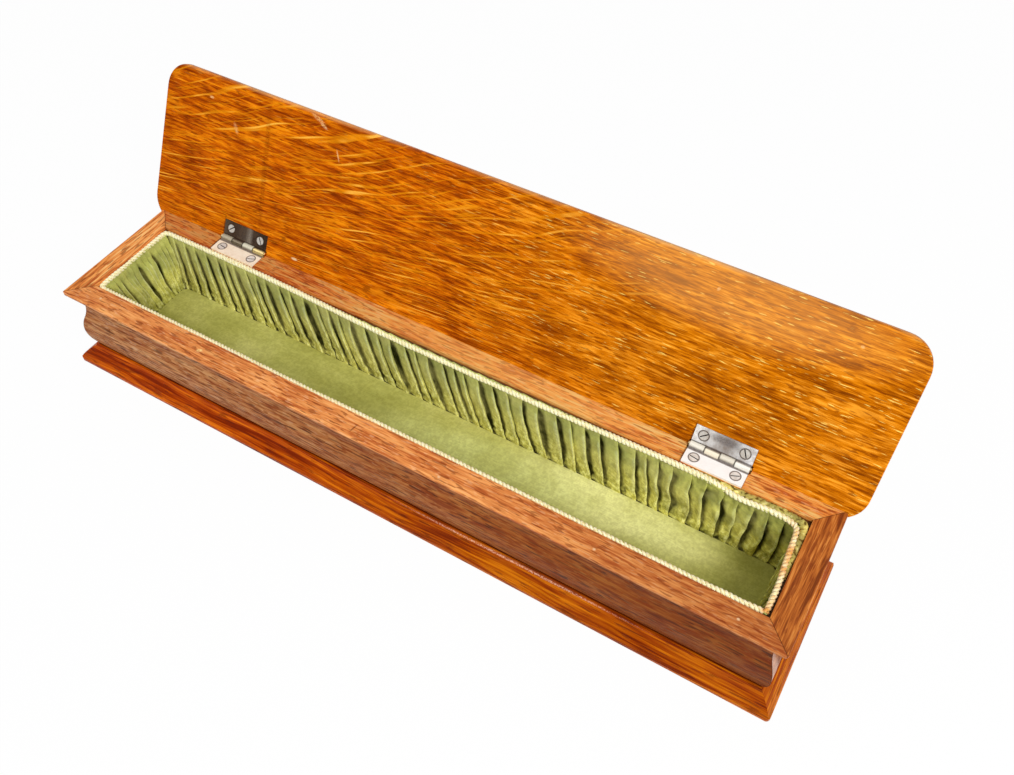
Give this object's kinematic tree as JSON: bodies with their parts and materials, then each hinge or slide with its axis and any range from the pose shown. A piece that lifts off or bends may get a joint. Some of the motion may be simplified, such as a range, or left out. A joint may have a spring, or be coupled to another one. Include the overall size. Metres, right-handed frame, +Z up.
{
  "type": "fan box",
  "caption": "Long narrow oak fan box with a moulded body and base plate, a hinged lid and a pleated green silk lining with cord trim.",
  "frame": {"origin": "centre of the base plate's flat underside", "axes": "+X to the right along the box, +Y to the back where the hinges are, +Z up"},
  "size_m": [0.3556, 0.1098, 0.1076],
  "materials": {
    "oak_lid": "gloss varnish",
    "oak_frame": "satin polish",
    "oak_base": "gloss varnish",
    "silk_wall": "satin silk",
    "silk_floor": "satin silk",
    "card": "plain",
    "trim": "twisted cord",
    "nickel": "worn nickel plate",
    "steel": "plain"
  },
  "bodies": {
    "box": {"base_plate": "oak_base", "front_wall": "oak_frame", "back_wall": "oak_frame", "left_wall": "oak_frame", "right_wall": "oak_frame", "base_screws": "steel", "mitre_brads": "steel", "floor_card": "card", "floor_pad": "silk_floor", "front_card": "card", "back_card": "card", "left_card": "card", "right_card": "card", "front_lining": "silk_wall", "back_lining": "silk_wall", "left_lining": "silk_wall", "right_lining": "silk_wall", "trim_cord": "trim", "left_hinge_box_leaf": "nickel", "left_hinge_pin": "nickel", "left_hinge_box_screws": "nickel", "right_hinge_box_leaf": "nickel", "right_hinge_pin": "nickel", "right_hinge_box_screws": "nickel"},
    "lid": {"lid": "oak_lid", "left_hinge_lid_leaf": "nickel", "left_hinge_lid_screws": "nickel", "right_hinge_lid_leaf": "nickel", "right_hinge_lid_screws": "nickel"}
  },
  "joints": [
    {"name": "lid_hinge", "type": "hinge", "parent": "box", "child": "lid", "pos_m": [0, 0.032, 0.0455], "axis": [-1, 0, 0], "range_deg": [-120, 0]}
  ]
}
